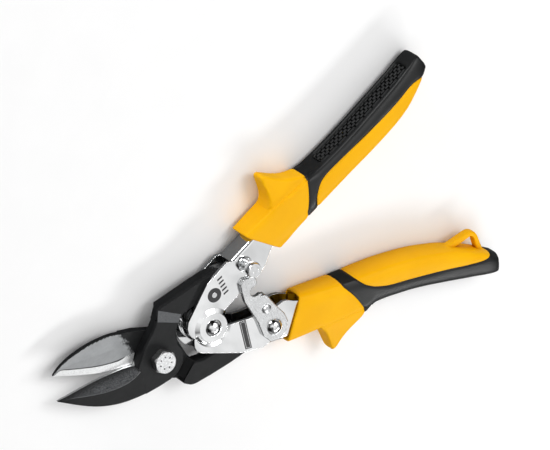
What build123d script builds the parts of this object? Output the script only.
from build123d import *
import os
from math import sin, cos, asin, radians, sqrt

# Compound-action aviation snips, lying flat, jaws and handles open.  Millimetres.
# Frame: origin on the jaw pivot axis at the flat rear end of the pivot bolt,
# +Z along the pivot towards the bolt head, +X towards the handles,
# +Y towards the upper handle.  "Front" is the +Z side, "rear" the -Z side.
# Pieces are modelled with the contact plane of the jaws at z = 0; save() lifts them.

# --- driving dimensions ---
TANG_LINK = 61.5          # jaw pivot to either tang rivet
HANDLE_LINK = 34.0        # handle pivot to either tang rivet
HANDLE_OPEN_DEG = 32.5    # half angle between the handle links, fully open
CLOSED_GAP = 23.6         # distance between the tang rivets, latched shut
CHANNEL_SKEW_DEG = 17.0   # half angle between the two handle channels, open
NUT_FACE = 9.6            # contact plane of the jaws above the flat bolt end

JAW_T = 5.5               # jaw thickness at the pivot
TANG_HALF = 4.0           # half thickness of the tangs inside the channels
SHEET = 1.8               # handle sheet
CH_HALF = 6.0             # half width of the channels over the plates
CH_INNER = CH_HALF - SHEET

BOLT_R = 3.5              # jaw pivot bolt, M7
RIVET_R = 3.0
FACE_GAP = 0.03           # each jaw stands this far off the contact plane
RUN_FIT = 0.05            # radial running clearance
SNUG_FIT = 0.02           # radial clearance of fixed joints
POST_FIT = 0.22           # radial clearance of the front tang on the latch post
HEAD_GAP = 0.05           # gap under bolt and rivet heads
OVERRUN = 1.0             # cutters pass this far beyond the faces they cut
TOL = 1e-3                # for picking edges by place

LATCH_T = 2.0
LATCH_Z = 6.15            # rear face of the latch above the contact plane

# --- pivot positions: tang rivets at (TANG_X, +/-TANG_Y), handle pivot at (HANDLE_X, 0) ---
HANDLE_ANGLE = radians(HANDLE_OPEN_DEG)
TANG_ANGLE = asin(HANDLE_LINK / TANG_LINK * sin(HANDLE_ANGLE))
TANG_X, TANG_Y = TANG_LINK * cos(TANG_ANGLE), TANG_LINK * sin(TANG_ANGLE)
HANDLE_X = TANG_X - HANDLE_LINK * cos(HANDLE_ANGLE)

os.makedirs("parts", exist_ok=True)


# --- helpers ---
def face_of(points, z):
    return make_face(Polyline(*[(x, y, z) for x, y in points], close=True))


def prism(points, z0, z1):
    return extrude(face_of(points, z0), amount=z1 - z0, dir=(0, 0, 1))


def disc(x, y, r, z0, z1):
    return Pos(x, y, (z0 + z1) / 2) * Cylinder(r, z1 - z0)


def soft_prism(points, z0, z1, corners):
    """Prism with listed corners of its outline rounded: (index of the point, radius)."""
    face = face_of(points, z0)
    for index, radius in corners:
        px, py = points[index]
        corner = min(face.vertices(), key=lambda v: (v.X - px) ** 2 + (v.Y - py) ** 2)
        # A corner whose sides are too short for its radius stays sharp.
        try:
            rounded = fillet(corner, radius)
            if rounded.area > 0:
                face = rounded
        except Exception:
            pass
    return extrude(face, amount=z1 - z0, dir=(0, 0, 1))


def edges_at(part, height, keep=lambda centre: True):
    """Edges centred on z = +height or -height whose centres pass keep."""
    return [e for e in part.edges()
            if abs(abs(e.center().Z) - height) < TOL and keep(e.center())]


def ease(part, edges, sizes, operation=chamfer):
    """Break edges with the first of the given sizes that the solid takes."""
    for size in sizes:
        # A size too large for the edges raises an error; the next one is tried.
        try:
            out = operation(edges, size)
            same_count = len(out.solids()) == len(part.solids())
            if out.is_valid and out.volume > 0.5 * part.volume and same_count:
                return out
        except Exception:
            continue
    return part


def section_x(x, points):
    """Face across the x axis from (y, z) points."""
    return make_face(Polyline(*[(x, y, z) for y, z in points], close=True))


def ramp(start, end, z_start, z_end, z_base):
    """Block on z_base whose top runs from z_start over one line to z_end over another."""
    def wall(line, top):
        first, last = line
        return make_face(Polyline((*first, z_base), (*last, z_base),
                                  (*last, top), (*first, top), close=True))

    return loft([wall(start, z_start), wall(end, z_end)], ruled=True)


def dome(x, y, z, r, h, up=1):
    """Spherical cap of base radius r and height h on level z, towards up * Z."""
    ball_r = (r * r + h * h) / (2 * h)
    ball = Pos(x, y, z + up * (h - ball_r)) * Sphere(ball_r)
    return ball & (Pos(x, y, z + up * h / 2) * Box(2 * r + 1, 2 * r + 1, h))


def place(part, side):
    """Move a part from the handle frame (origin at the handle pivot, x along the
    channel, y outwards) to the tool frame; side is +1 upper, -1 lower."""
    part = Pos(HANDLE_X, 0, 0) * (Rot(0, 0, CHANNEL_SKEW_DEG) * part)
    return mirror(part, Plane.XZ) if side < 0 else part


def save(part, name):
    """Lift a piece to the bolt end datum, drop slivers and write it."""
    part = Pos(0, 0, NUT_FACE) * part
    solids = [s for s in part.solids() if s.volume > 0.5]
    out = solids[0] if len(solids) == 1 else Compound(children=solids)
    out.label = name
    export_step(out, f"parts/{name}.step")


# --- jaw blades ---
# Lower blade, on the front jaw:
# x, cutting edge y, land height, arris y, back y, height at the arris
LOWER_BLADE = [
    (-54.7, 10.25, 0.9, 10.05, 9.7, 1.2),
    (-52.0, 9.95, 1.2, 9.15, 7.3, 2.1),
    (-48.5, 9.65, 1.4, 8.1, 4.1, 2.9),
    (-44.0, 9.35, 1.5, 6.3, 0.4, 3.6),
    (-39.0, 8.95, 1.6, 4.1, -3.3, 4.1),
    (-33.0, 8.3, 1.6, 1.8, -6.7, 4.6),
    (-27.0, 7.3, 1.6, 0.1, -9.2, 4.9),
    (-21.0, 6.05, 1.6, -0.7, -10.8, 5.2),
    (-15.5, 4.6, 1.7, -0.2, -11.8, 5.4),
    (-11.6, 3.0, 2.2, 1.2, -12.3, 5.5),
]
# Upper blade, on the rear jaw:
# x, cutting edge y, inner line of the polished land, spine y, thickness at the spine
UPPER_BLADE = [
    (-51.4, 22.55, 22.75, 23.1, 1.2),
    (-49.5, 21.45, 22.9, 23.9, 1.7),
    (-47.0, 19.9, 23.0, 24.7, 2.2),
    (-44.0, 18.0, 21.4, 25.4, 2.5),
    (-40.0, 15.5, 19.1, 26.0, 2.8),
    (-34.0, 12.05, 15.75, 26.3, 3.0),
    (-28.0, 9.2, 12.85, 26.05, 3.1),
    (-22.0, 6.95, 10.5, 25.2, 3.2),
    (-16.0, 4.9, 9.2, 23.6, 3.4),
    (-9.0, 3.4, 8.4, 20.6, 3.8),
]


def lower_blade():
    sections = []
    for x, edge, land, arris, back, top in LOWER_BLADE:
        bevel = min(1.3, 0.35 * (arris - back) + 0.05)
        sections.append(section_x(x, [
            (edge, FACE_GAP), (edge, land), (arris, top), (back + bevel, top - 0.02),
            (back, top - bevel), (back + 0.3 * bevel, FACE_GAP)]))
    return loft(sections)


def upper_blade():
    """Blade whose front face is hollowed between the land and the spine."""
    sections = []
    for x, edge, land, spine, thick in UPPER_BLADE:
        width = spine - land
        # The hollow fades out towards the pivot and where the blade is narrow.
        sink = min(1.0, max(0.12, (-x - 9.0) / 8.0)) * min(1.0, width / 4.0)
        sections.append(section_x(x, [
            (edge, -FACE_GAP),
            (land, -FACE_GAP - 0.02),
            (land + 0.03 + 0.22 * sink, -0.06 - 0.40 * sink),
            (land + 0.45 * width, -0.07 - (0.43 + 0.018 * width) * sink),
            (spine - 0.05 * width, -0.07 - 0.30 * sink),
            (spine, -0.34),
            (spine - 0.1, -thick),
            (land + 0.1 * width, -thick + 0.02),
            (edge, -1.2)]))
    return loft(sections)


# --- jaws ---
# Outlines (x, y); corners (index of the point, radius)
FRONT_BODY = [
    (-14.2, -11.9), (-6.0, -12.5), (0.5, -12.6), (5.6, -11.4), (9.2, -8.6),
    (11.7, -4.6), (12.2, -1.6), (11.0, 3.0), (12.2, 8.5), (15.5, 12.5),
    (7.0, 18.2), (5.0, 19.9), (1.2, 16.3), (-6.2, 10.6), (-11.2, 5.2),
    (-12.9, 3.35), (-11.4, 1.1), (-12.6, -1.2),
]
FRONT_CORNERS = [(0, 0.8), (3, 4), (5, 4), (7, 3), (8, 4), (13, 5), (12, 3)]
REAR_BODY = [
    (-12.0, 21.6), (-4.8, 18.7), (2.4, 14.4), (8.5, 10.2), (12.4, 4.6),
    (13.4, -1.0), (14.2, -7.0), (15.5, -12.5), (7.0, -18.2), (3.0, -15.7),
    (-3.0, -12.9), (-8.6, -9.6), (-12.0, -4.4), (-13.0, 1.5), (-12.2, 7.9),
]
REAR_CORNERS = [(1, 6), (2, 6), (3, 5), (4, 5), (11, 5), (12, 5), (13, 4)]
# Outer sides of the tangs, and the inner side of the upper one (mirrored for the lower)
FRONT_TANG = [
    (7.0, 18.2), (5.0, 19.9), (8.2, 23.9), (10.2, 24.8), (20.8, 25.0),
    (31.0, 25.3), (38.0, 25.2), (45.0, 24.4), (49.6, 22.9),
]
REAR_TANG = [
    (7.0, -18.2), (6.2, -19.5), (9.0, -22.2), (12.5, -23.9), (20.8, -24.5),
    (31.0, -24.8), (38.0, -24.7), (45.0, -24.0), (49.6, -22.9),
]
TANG_INNER = [(54.0, 12.2), (50.0, 11.6), (42.0, 12.8), (30.0, 14.3), (20.0, 13.9), (15.5, 12.5)]
TANG_EYE_R = 7.0
# Cut on the rear side of the front tang's root
TANG_ROOT_CUT = [(3.0, 16.5), (7.9, 17.4), (8.6, 19.8), (10.6, 24.1), (9.4, 27.0), (2.0, 27.0)]
TANG_ROOT_CUT_Z = -0.6
# Ramps between body and tang: start line, end line, two points each
RAMP_BASE = FACE_GAP + 0.5
FRONT_RAMP = [((5.45, 19.5), (15.1, 12.8)), ((8.5, 23.9), (18.6, 14.9))]
REAR_BACK_RAMP = [((6.6, 18.45), (15.1, 12.8)), ((9.6, 23.4), (18.6, 14.9))]   # before mirroring
REAR_FRONT_RAMP = [((5.6, -15.3), (13.6, -9.9)), ((8.2, -18.6), (16.4, -13.1))]


def jaw_body(outline, z0, z1, corners, keep):
    """Body with its outer face's edges eased where keep allows."""
    body = soft_prism(outline, z0, z1, corners)
    return ease(body, edges_at(body, JAW_T, keep), [0.7, 0.5, 0.35])


def jaw_tang(outer, side, ease_from):
    """Tang with its rivet eye; edges beyond x = ease_from are eased."""
    inner = [(x, side * y) for x, y in TANG_INNER]
    tang = prism(outer + [(TANG_X - 2.0, side * TANG_Y)] + inner, -TANG_HALF, TANG_HALF)
    tang += disc(TANG_X, side * TANG_Y, TANG_EYE_R, -TANG_HALF, TANG_HALF)
    return ease(tang, edges_at(tang, TANG_HALF, lambda c: c.X > ease_from), [0.9, 0.6, 0.4])


def tang_hole(side, fit):
    return disc(TANG_X, side * TANG_Y, RIVET_R + fit, -TANG_HALF - OVERRUN, TANG_HALF + OVERRUN)


def front_jaw():
    """Lower blade, with its tang running to the upper handle."""
    body = jaw_body(FRONT_BODY, FACE_GAP, JAW_T, FRONT_CORNERS,
                    lambda c: c.X > -11.0 and c.Y < 14.0)
    tang = jaw_tang(FRONT_TANG, 1, 9)
    tang -= prism(TANG_ROOT_CUT, -TANG_HALF - OVERRUN, TANG_ROOT_CUT_Z)
    jaw = body + tang + ramp(*FRONT_RAMP, JAW_T, TANG_HALF, RAMP_BASE) + lower_blade()
    jaw -= disc(0, 0, BOLT_R + RUN_FIT, -OVERRUN, JAW_T + OVERRUN)
    return jaw - tang_hole(1, POST_FIT)


def rear_jaw():
    """Upper blade, with its tang running to the lower handle."""
    body = jaw_body(REAR_BODY, -JAW_T, -FACE_GAP, REAR_CORNERS, lambda c: c.Y > -12.0)
    tang = jaw_tang(REAR_TANG, -1, 12)
    back = mirror(ramp(*REAR_BACK_RAMP, JAW_T, TANG_HALF, RAMP_BASE), Plane.XZ)
    back = mirror(back, Plane.XY)
    front = ramp(*REAR_FRONT_RAMP, -0.1, TANG_HALF, -1.5)
    jaw = body + tang + back + front + upper_blade()
    jaw -= disc(0, 0, BOLT_R + SNUG_FIT, -JAW_T - OVERRUN, OVERRUN)
    return jaw - tang_hole(-1, RUN_FIT)


# --- jaw pivot bolt and nut ---
BOLT_AF = 11.0            # across flats, head and nut
HEX_ROUND_R = BOLT_AF / 2 + 0.62   # cylinder that trims the hexagon corners
HEAD_H = 4.2
HEAD_TURN, NUT_TURN = 18, 4        # degrees
NUT_INSET = 0.5           # nut's rear face in from the bolt end
NUT_GAP = 0.02            # nut to rear jaw
PITS = 7                  # small round pits in a ring on the head
PIT_RING_R, PIT_R, PIT_DEPTH, PIT_START_DEG = 3.1, 0.42, 0.25, 25


def bevelled_hex(z0, z1, turn, end, sizes):
    """Hexagon trimmed by a cylinder chamfered at its lowest (0) or highest (-1) face."""
    outline = Pos(0, 0, z0) * (Rot(0, 0, turn) * RegularPolygon(BOLT_AF / sqrt(3), 6))
    hexagon = extrude(outline, amount=z1 - z0, dir=(0, 0, 1))
    trim = disc(0, 0, HEX_ROUND_R, z0, z1)
    return hexagon & ease(trim, trim.faces().sort_by(Axis.Z)[end].edges(), sizes)


def pivot_bolt():
    z0 = JAW_T + HEAD_GAP
    top = z0 + HEAD_H
    head = bevelled_hex(z0, top, HEAD_TURN, -1, [0.8, 0.5])
    for k in range(PITS):
        a = radians(PIT_START_DEG + 360 / PITS * k)
        head -= disc(PIT_RING_R * cos(a), PIT_RING_R * sin(a), PIT_R,
                     top - PIT_DEPTH, top + OVERRUN)
    shank = disc(0, 0, BOLT_R, -NUT_FACE, z0 + 0.5)
    shank = ease(shank, shank.faces().sort_by(Axis.Z)[0].edges(), [0.5, 0.3])
    return head + shank


def pivot_nut():
    z0, z1 = -NUT_FACE + NUT_INSET, -JAW_T - NUT_GAP
    nut = bevelled_hex(z0, z1, NUT_TURN, 0, [0.5, 0.3])
    return nut - disc(0, 0, BOLT_R + SNUG_FIT, z0 - OVERRUN, z1 + OVERRUN)


# --- handle channels, in the handle frame; dictionaries are keyed by side ---
SEAM = 0.01               # overlap of joined rings
RING_R = 7.6              # upper front plate: raised flat around the handle pivot
RING_OUT = 9.8            # foot of its slope
STEP = 1.05               # height of the raised flat
LOW_RING_R = RING_R + 0.7      # lower front plate: sunk flat around the pivot
LOW_RING_OUT = RING_OUT + 0.3
LOW_STEP = STEP - 0.1
REAR_BOSS_R = 11.0        # round end of the upper rear plate
REAR_DISC_R = 14.3        # lower rear plate: flat pushed out to the rear
REAR_OUT = 16.4
REAR_STEP = 2.05
SECTOR_Z = 12             # reach of tall cutters through a channel
WEB_START = 28.0
WEB_Y = 18.3
TAIL = 116.0              # x of the channel's far end
LIP_GAP = 0.22            # plates' edge off the tool's centre plane
LIP_START, LIP_END = 6.0, 10.9     # reach of that edge from the handle pivot

NOSE = {1: [(-10.9, 5.4), (-10.7, 7.4), (-9.5, 10.2), (-7.1, 12.3), (-1.5, 14.4),
            (5.6, 17.2), (12.6, 19.8), (26.4, 19.8), (WEB_START + 0.4, WEB_Y)],
        -1: [(-10.6, 5.0), (-10.6, 7.6), (-9.6, 10.0), (-7.6, 11.6), (2.0, 14.6),
             (14.0, 18.2), (26.4, 19.2), (WEB_START + 0.4, WEB_Y)]}
OUTER_TAIL = {1: [(48.0, WEB_Y), (60.0, 17.2), (90.0, 13.2), (TAIL, 11.5)],
              -1: [(48.0, WEB_Y), (60.0, 15.2), (90.0, 10.6), (TAIL, 8.0)]}
INNER_EDGE = {1: [(TAIL, 3.6), (90.0, 4.1), (70.0, 4.3), (52.0, 6.0), (47.0, 6.0), (43.5, 4.2),
                  (40.0, 2.1), (37.0, 1.1), (32.0, 0.9), (20.0, 1.7), (11.0, 1.6)],
              -1: [(TAIL, -2.0), (90.0, -2.2), (70.0, -0.6), (54.0, 0.6), (50.0, 1.0),
                   (46.0, 0.0), (42.5, -1.4), (39.5, -1.6), (35.0, 0.2), (20.0, 1.7),
                   (11.0, 1.6)]}
PLATE_START = (4.0, 1.6)
REAR_NOSE = [(-8.0, 6.0), (-7.1, 9.6)]   # replaces the first four nose points


def front_outline(side):
    a = radians(180 - CHANNEL_SKEW_DEG)
    lip = [(r * cos(a) + LIP_GAP * sin(a), r * sin(a) - LIP_GAP * cos(a))
           for r in (LIP_START, LIP_END)]
    return [PLATE_START] + lip + NOSE[side] + OUTER_TAIL[side] + INNER_EDGE[side]


def cone_ring(r0, r1, z0, drop):
    """Conical sheet ring: underside at z0 at radius r0, falling by drop at r1."""
    profile = make_face(Polyline((r0, 0, z0), (r0, 0, z0 + SHEET), (r1, 0, z0 + SHEET - drop),
                                 (r1, 0, z0 - drop), close=True))
    return revolve(profile, axis=Axis.Z)


def front_plate(side):
    outline = front_outline(side)
    flat = prism(outline, CH_INNER, CH_HALF)
    sector = prism(outline, 0, SECTOR_Z)
    if side > 0:
        plate = flat - disc(0, 0, RING_OUT, CH_INNER - OVERRUN, CH_HALF + OVERRUN)
        plate += cone_ring(RING_R - SEAM, RING_OUT + SEAM, CH_INNER + STEP, STEP) & sector
        plate += disc(0, 0, RING_R, CH_INNER + STEP, CH_HALF + STEP)
        return plate
    z0, z1 = CH_INNER - LOW_STEP, CH_HALF - LOW_STEP
    plate = flat - disc(0, 0, LOW_RING_OUT, CH_INNER - OVERRUN, CH_HALF + OVERRUN)
    plate += cone_ring(LOW_RING_R, LOW_RING_OUT + SEAM, z0, -LOW_STEP) & sector
    plate += disc(0, 0, LOW_RING_R + SEAM, z0, z1) & sector
    plate += disc(0, 0, RING_R - 0.1, z0, z1)
    return plate


def rear_plate(side):
    outline = [PLATE_START] + REAR_NOSE + NOSE[side][4:] + OUTER_TAIL[side] + INNER_EDGE[side]
    flat = prism(outline, -CH_HALF, -CH_INNER)
    if side > 0:
        return flat + disc(0, 0, REAR_BOSS_R, -CH_HALF, -CH_INNER)
    sector = prism(outline, -SECTOR_Z, 0)
    z0 = -CH_HALF - REAR_STEP
    plate = flat - disc(0, 0, REAR_OUT, -CH_HALF - OVERRUN, -CH_INNER + OVERRUN)
    plate += cone_ring(REAR_DISC_R - SEAM, REAR_OUT + SEAM, z0, -REAR_STEP) & sector
    plate += disc(0, 0, REAR_DISC_R, z0, -CH_INNER - REAR_STEP)
    return plate


def web(side):
    """Strip along the outer side that joins the two plates."""
    outer = [(WEB_START, WEB_Y)] + OUTER_TAIL[side]
    inner = [(x, y - SHEET) for x, y in reversed(outer)]
    return prism(outer + inner, -CH_HALF, CH_HALF)


def local_tang():
    """Tang rivet in the handle frame."""
    skew = radians(CHANNEL_SKEW_DEG)
    x, y = TANG_X - HANDLE_X, TANG_Y
    return x * cos(skew) + y * sin(skew), -x * sin(skew) + y * cos(skew)


def channel(side):
    body = front_plate(side) + rear_plate(side) + web(side)
    # outside bends between web and plates
    bends = [e for e in edges_at(body, CH_HALF, lambda c: c.Y > WEB_Y - 0.05
                                 and WEB_START + 1 < c.X < 50) if e.length > 10]
    body = ease(body, bends, [1.8, 1.4, 1.0], fillet)
    body -= disc(0, 0, RIVET_R + RUN_FIT, -SECTOR_Z, SECTOR_Z)
    body -= disc(*local_tang(), RIVET_R + SNUG_FIT, -SECTOR_Z, SECTOR_Z)
    return place(body, side)


# --- rivets ---
DOME_R = 4.2
CENTRE_DOME_R = DOME_R + 0.2
FRONT_DOME_H = 2.5
REAR_DOME_H = 2.0
CENTRE_REAR_DOME_H = 1.5
POST_NECK_R, POST_NECK_H = 2.5, 2.7
POST_BALL_R, POST_BALL_Z = 4.1, 4.45      # ball centre above the channel
POST_HEAD_H, POST_HEAD_Z = 4.1, 4.6       # slice of the ball kept, and its middle
SPACER_R = 5.2


def upper_rivet():
    """Tang rivet of the upper handle; its standing head is the latch post."""
    z = CH_HALF
    neck = disc(TANG_X, TANG_Y, RIVET_R, -CH_HALF, z)
    neck += disc(TANG_X, TANG_Y, POST_NECK_R, z, z + POST_NECK_H)
    head = Pos(TANG_X, TANG_Y, z + POST_BALL_Z) * Sphere(POST_BALL_R)
    head = head & (Pos(TANG_X, TANG_Y, z + POST_HEAD_Z) * Box(10, 10, POST_HEAD_H))
    return neck + head + dome(TANG_X, TANG_Y, -CH_HALF, DOME_R, REAR_DOME_H, -1)


def domed_rivet(x, y, z_rear, z_front, dome_r, rear_h):
    pin = disc(x, y, RIVET_R, z_rear, z_front)
    return (pin + dome(x, y, z_front, dome_r, FRONT_DOME_H)
            + dome(x, y, z_rear, dome_r, rear_h, -1))


def lower_rivet():
    return domed_rivet(TANG_X, -TANG_Y, -CH_HALF, LATCH_Z + LATCH_T + HEAD_GAP,
                       DOME_R, REAR_DOME_H)


def centre_rivet():
    return domed_rivet(HANDLE_X, 0, -CH_HALF - REAR_STEP, CH_HALF + STEP + HEAD_GAP,
                       CENTRE_DOME_R, CENTRE_REAR_DOME_H)


def centre_spacer():
    """Sleeve on the handle pivot between the front and rear plates."""
    spacer = disc(HANDLE_X, 0, SPACER_R, -CH_INNER + HEAD_GAP, CH_INNER - LOW_STEP)
    return spacer - disc(HANDLE_X, 0, RIVET_R + SNUG_FIT, -SECTOR_Z, SECTOR_Z)


# --- torsion return spring ---
SPRING_R = 7.0
SPRING_WIRE = 1.7
SPRING_PITCH = 1.82
SPRING_TURNS = 2.5 - 16.0 / 360
SPRING_Z = -2.9           # start of the coil
SPRING_START_DEG = 98
SPRING_LEG = 19.0


def return_spring():
    """Coil round the handle pivot, with a straight flat-lying leg at each end."""
    helix = Helix(SPRING_PITCH, SPRING_PITCH * SPRING_TURNS, SPRING_R)
    helix = Pos(HANDLE_X, 0, SPRING_Z) * (Rot(0, 0, SPRING_START_DEG) * helix)

    def wire_at(point, direction):
        return Plane(origin=point, z_dir=direction) * Circle(SPRING_WIRE / 2)

    def leg(end, reach):
        tangent = helix % end
        run = Vector(tangent.X, tangent.Y, 0) * reach
        return extrude(wire_at(helix @ end, run), amount=run.length, dir=run.normalized())

    coil = sweep(wire_at(helix @ 0, helix % 0), path=helix, is_frenet=True)
    pieces = [coil, leg(0, -SPRING_LEG), leg(1, SPRING_LEG)]
    return Compound(children=[piece.solid() for piece in pieces])


# --- latch ---
LATCH = [
    (53.6, 14.3), (50.6, 12.8), (49.9, 9.0), (49.3, 3.4), (50.4, -3.0), (51.6, -10.5),
    (51.6, -19.5), (54.2, -24.6), (58.7, -26.0), (63.5, -24.3), (66.4, -19.6),
    (66.2, -14.8), (63.8, -8.6), (62.4, -4.0), (61.6, -1.0), (60.4, 0.6), (58.2, 1.2),
]
NOTCH_ANGLE = 95.5        # direction of the notch from the latch pivot, open
NOTCH_R = 2.62
NOTCH_SIDES = [(3.6, -3.4), (0, -1.5), (0, 1.5), (2.6, 3.6)]   # offsets from its centre
HOOK_TIP = [(59.2, 9.6), (59.6, 11.4), (58.0, 13.2)]
DIMPLE_X, DIMPLE_Y, DIMPLE_R, DIMPLE_DEPTH = 58.4, -6.8, 2.6, 0.9


def latch_plate():
    a = radians(NOTCH_ANGLE)
    notch_x, notch_y = TANG_X + CLOSED_GAP * cos(a), -TANG_Y + CLOSED_GAP * sin(a)
    notch = [(notch_x + dx, notch_y + dy) for dx, dy in NOTCH_SIDES]
    z0, z1 = LATCH_Z, LATCH_Z + LATCH_T
    plate = extrude(face_of(LATCH + notch + HOOK_TIP, z0), amount=LATCH_T, dir=(0, 0, 1))
    plate -= disc(notch_x, notch_y, NOTCH_R, z0 - OVERRUN, z1 + OVERRUN)

    def is_upright(edge):
        return abs(edge.length - LATCH_T) < TOL

    uprights = [e for e in plate.edges()
                if abs(e.center().Z - (z0 + z1) / 2) < TOL and is_upright(e)]
    for upright in uprights:
        centre = upright.center()
        # A corner that earlier rounding removed, or that has no room, is left as it is.
        try:
            same = [e for e in plate.edges()
                    if is_upright(e) and (e.center() - centre).length < TOL]
            rounded = fillet(same, 1.6 if centre.Y > 8 or centre.Y < -14 else 1.0)
            if rounded.is_valid:
                plate = rounded
        except Exception:
            pass
    plate = ease(plate, edges_at(plate, z1), [0.35, 0.2])
    plate -= disc(TANG_X, -TANG_Y, RIVET_R + RUN_FIT, z0 - OVERRUN, z1 + OVERRUN)
    return plate - dome(DIMPLE_X, DIMPLE_Y, z1, DIMPLE_R, DIMPLE_DEPTH, -1)


# --- grips, in the handle frame ---
GRIP_HALF = 9.5           # greatest half thickness
# x, upper grip inner y and outer y, lower grip inner y and outer y,
# half thickness, corner radius
GRIP = [
    (37.0, 1.2, 22.6, -2.2, 20.4, 7.2, 2.0),
    (46.0, 1.2, 22.6, -2.4, 20.2, 7.6, 2.6),
    (52.0, 1.4, 22.4, -2.5, 19.4, 8.0, 3.0),
    (58.0, 1.8, 22.2, -2.5, 18.6, 8.3, 3.2),
    (66.0, 2.2, 21.6, -2.6, 17.4, 8.6, 3.6),
    (74.0, 2.3, 20.5, -2.9, 16.4, 8.9, 4.0),
    (82.0, 2.3, 19.3, -3.4, 15.2, 9.2, 4.2),
    (90.0, 2.2, 18.4, -4.0, 14.0, 9.4, 4.4),
    (98.0, 2.1, 17.8, -4.4, 13.3, GRIP_HALF, 4.6),
    (108.0, 1.7, 17.5, -4.3, 13.3, GRIP_HALF, 4.8),
    (118.0, 1.3, 17.5, -3.8, 13.9, 9.4, 4.8),
    (126.0, 1.2, 17.7, -2.7, 14.8, 9.3, 4.8),
    (134.0, 1.4, 17.9, -1.2, 15.8, 9.2, 4.8),
    (142.0, 2.3, 18.1, 1.2, 16.9, 9.0, 4.6),
    (150.0, 4.6, 18.5, 4.0, 18.0, 8.6, 4.4),
    (156.0, 6.8, 19.2, 6.5, 19.0, 8.2, 4.0),
    (160.5, 8.6, 19.7, 8.5, 19.6, 7.6, 3.4),
    (163.8, 10.4, 19.4, 10.4, 19.4, 6.4, 2.4),
]
MOUTH = {1: (51.6, -0.47), -1: (48.4, -0.424)}    # sloping mouth: x at y = 0, change of x per y
GUARD = [(57.0, 17.0), (57.6, 22.3), (61.2, 24.2), (63.4, 28.0), (64.9, 32.6), (66.2, 37.0),
         (68.6, 38.4), (70.9, 37.0), (73.2, 32.0), (76.5, 26.8), (81.5, 22.0), (88.0, 16.5)]
GUARD_HALF = 6.0
GUARD_DROP = {1: 0.0, -1: 3.6}
# boundary of the overmould, from the inner side round to the end
OVERMOULD = {
    1: [(70.0, -20.0), (70.0, 4.5), (74.0, 8.5), (78.0, 13.5), (82.0, 19.5), (85.6, 25.0),
        (86.5, 30.0), (86.5, 45.0), (180.0, 45.0), (180.0, -20.0), (160.5, -20.0), (160.3, 6.0),
        (158.0, 9.8), (152.0, 12.2), (142.0, 11.4), (131.5, 11.4), (120.0, 12.0), (109.0, 12.9),
        (98.0, 13.7), (92.1, 13.9), (87.0, 13.5), (83.3, 11.4), (80.0, 8.9), (77.9, 5.5),
        (77.4, 3.0), (77.4, -20.0)],
    -1: [(71.0, -20.0), (71.0, -1.6), (75.2, 2.8), (79.3, 7.9), (83.2, 14.4), (85.6, 19.5),
         (86.5, 26.0), (86.5, 45.0), (180.0, 45.0), (180.0, -20.0), (160.5, -20.0), (160.3, 6.0),
         (158.0, 9.3), (153.0, 10.2), (143.0, 9.4), (134.0, 8.3), (125.0, 7.6), (115.6, 7.0),
         (106.0, 6.5), (102.0, 6.5), (97.0, 6.2), (92.5, 5.3), (88.2, 4.0), (83.7, 1.5),
         (80.0, -2.4), (78.6, -4.4), (78.6, -20.0)],
}
# closed loop on the inner side of the lower grip
LOOP_OUT = [(131.0, 1.0), (132.4, -1.2), (141.0, -3.2), (147.2, -5.4), (150.4, -5.7),
            (153.3, -3.9), (155.0, -0.2), (157.4, 8.8), (150.0, 8.6)]
LOOP_IN = [(137.8, 0.5), (144.0, -1.3), (149.8, -3.3), (151.8, -1.9), (154.2, 5.6),
           (148.0, 4.6), (142.0, 2.6)]
LOOP_HALF = 2.6
PAD_X0, PAD_X1, PAD_HALF = 93.0, 156.0, 5.0
PAD_DEPTH = 1.6
# moulding inside the channel: start, inner side, outer y at the start
FILLER_START = 52.5
FILLER_INNER = {1: [(FILLER_START, 5.5), (70.0, 3.8), (90.0, 3.5), (TAIL, 3.0)],
                -1: [(FILLER_START, 0.2), (70.0, -1.1), (90.0, -2.7), (TAIL, -2.5)]}
FILLER_WEB_Y = {1: 17.8, -1: 17.05}


def grip_stations(side):
    """Rows of x, inner y, outer y, half thickness, corner radius for one grip."""
    first = 1 if side > 0 else 3
    return [(row[0], row[first], row[first + 1], row[5], row[6]) for row in GRIP]


def grip_body(side):
    sections = []
    for x, inner, outer, half, radius in grip_stations(side):
        plane = Plane(origin=(x, (inner + outer) / 2, 0), x_dir=(0, 1, 0), z_dir=(1, 0, 0))
        sections.append(plane * RectangleRounded(outer - inner, 2 * half, radius))
    x0, slope = MOUTH[side]
    low, high = -12.0, 34.0
    beyond_mouth = [(20.0, low), (x0 + low * slope, low), (x0 + high * slope, high), (20.0, high)]
    return loft(sections) - prism(beyond_mouth, -20, 20)


def guard_horn(side):
    """Horn standing out from the outer side of the grip near its mouth."""
    drop = GUARD_DROP[side]
    horn = soft_prism([(x, y - drop) for x, y in GUARD], -GUARD_HALF, GUARD_HALF,
                      [(5, 1.2), (7, 1.2), (2, 2.0)])
    rim = edges_at(horn, GUARD_HALF, lambda c: c.Y > 21 - drop)
    return ease(horn, rim, [1.6, 1.2, 0.8], fillet)


def grip_loop():
    loop = soft_prism(LOOP_OUT, -LOOP_HALF, LOOP_HALF, [(3, 2.0), (5, 2.0)])
    loop -= soft_prism(LOOP_IN, -LOOP_HALF - OVERRUN, LOOP_HALF + OVERRUN, [(2, 1.0), (3, 1.0)])
    return ease(loop, edges_at(loop, LOOP_HALF), [0.8, 0.6, 0.4], fillet)


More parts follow.
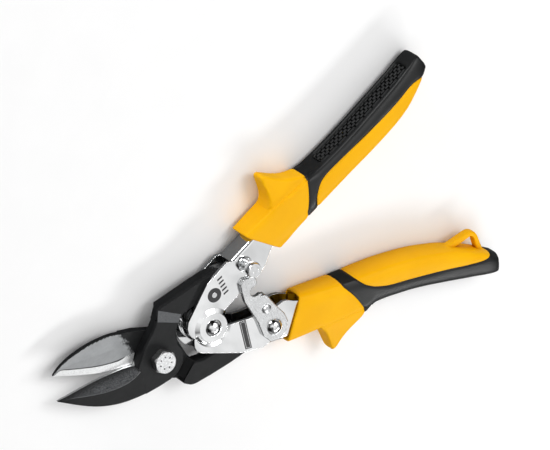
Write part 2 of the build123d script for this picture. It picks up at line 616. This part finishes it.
def pad_blank(side):
    """Tread pad let into the outer side of the overmould, before trimming."""
    rows = [(x, outer) for x, _, outer, _, _ in grip_stations(side)]

    def outer_point(x):
        for (xa, ya), (xb, yb) in zip(rows, rows[1:]):
            if xa <= x <= xb:
                return x, ya + (yb - ya) * (x - xa) / (xb - xa)

    between = [p for p in rows if PAD_X0 + 1 < p[0] < PAD_X1 - 1]
    outer = [outer_point(PAD_X0)] + between + [outer_point(PAD_X1)]
    inner = [(x, y - PAD_DEPTH) for x, y in reversed(outer)]
    return prism([(x, y + 1.0) for x, y in outer] + inner, -PAD_HALF, PAD_HALF)


def channel_envelope(side):
    """Outside of the channel where the grip sits on it."""
    inner = [p for p in INNER_EDGE[side] if p[0] > 36.5]
    return prism([(36.0, WEB_Y)] + OUTER_TAIL[side] + inner + [(36.0, 0.4)], -CH_HALF, CH_HALF)


def channel_filler(side):
    """Moulding that fills the inside of the channel behind the grip's mouth."""
    outer = [(x, y - SHEET) for x, y in reversed(OUTER_TAIL[side]) if x > FILLER_START]
    outer += [(FILLER_START, FILLER_WEB_Y[side] - SHEET)]
    return prism(FILLER_INNER[side] + outer, -CH_INNER, CH_INNER)


def grip_set(side):
    """Core, overmould and tread pad of one grip."""
    body = grip_body(side)
    whole = body + guard_horn(side)
    pad = pad_blank(side) & body
    filler = channel_filler(side)
    overmould = (body & prism(OVERMOULD[side], -14, 14)) - filler - pad
    if side < 0:
        whole = whole + grip_loop()
    core = whole - overmould - pad
    hollow = channel_envelope(side) - filler
    return [place(part - hollow, side) for part in (core, overmould, pad)]


for side, tag in ((1, "upper"), (-1, "lower")):
    save(channel(side), f"{tag}_handle_channel")
    for part, name in zip(grip_set(side), ("core", "overmould", "tread_pad")):
        save(part, f"{tag}_grip_{name}")
save(front_jaw(), "front_jaw")
save(rear_jaw(), "rear_jaw")
save(pivot_bolt(), "pivot_bolt")
save(pivot_nut(), "pivot_nut")
save(upper_rivet(), "upper_tang_rivet_latch_post")
save(lower_rivet(), "lower_tang_rivet")
save(centre_rivet(), "handle_pivot_rivet")
save(centre_spacer(), "handle_pivot_spacer")
save(return_spring(), "return_spring")
save(latch_plate(), "latch_plate")
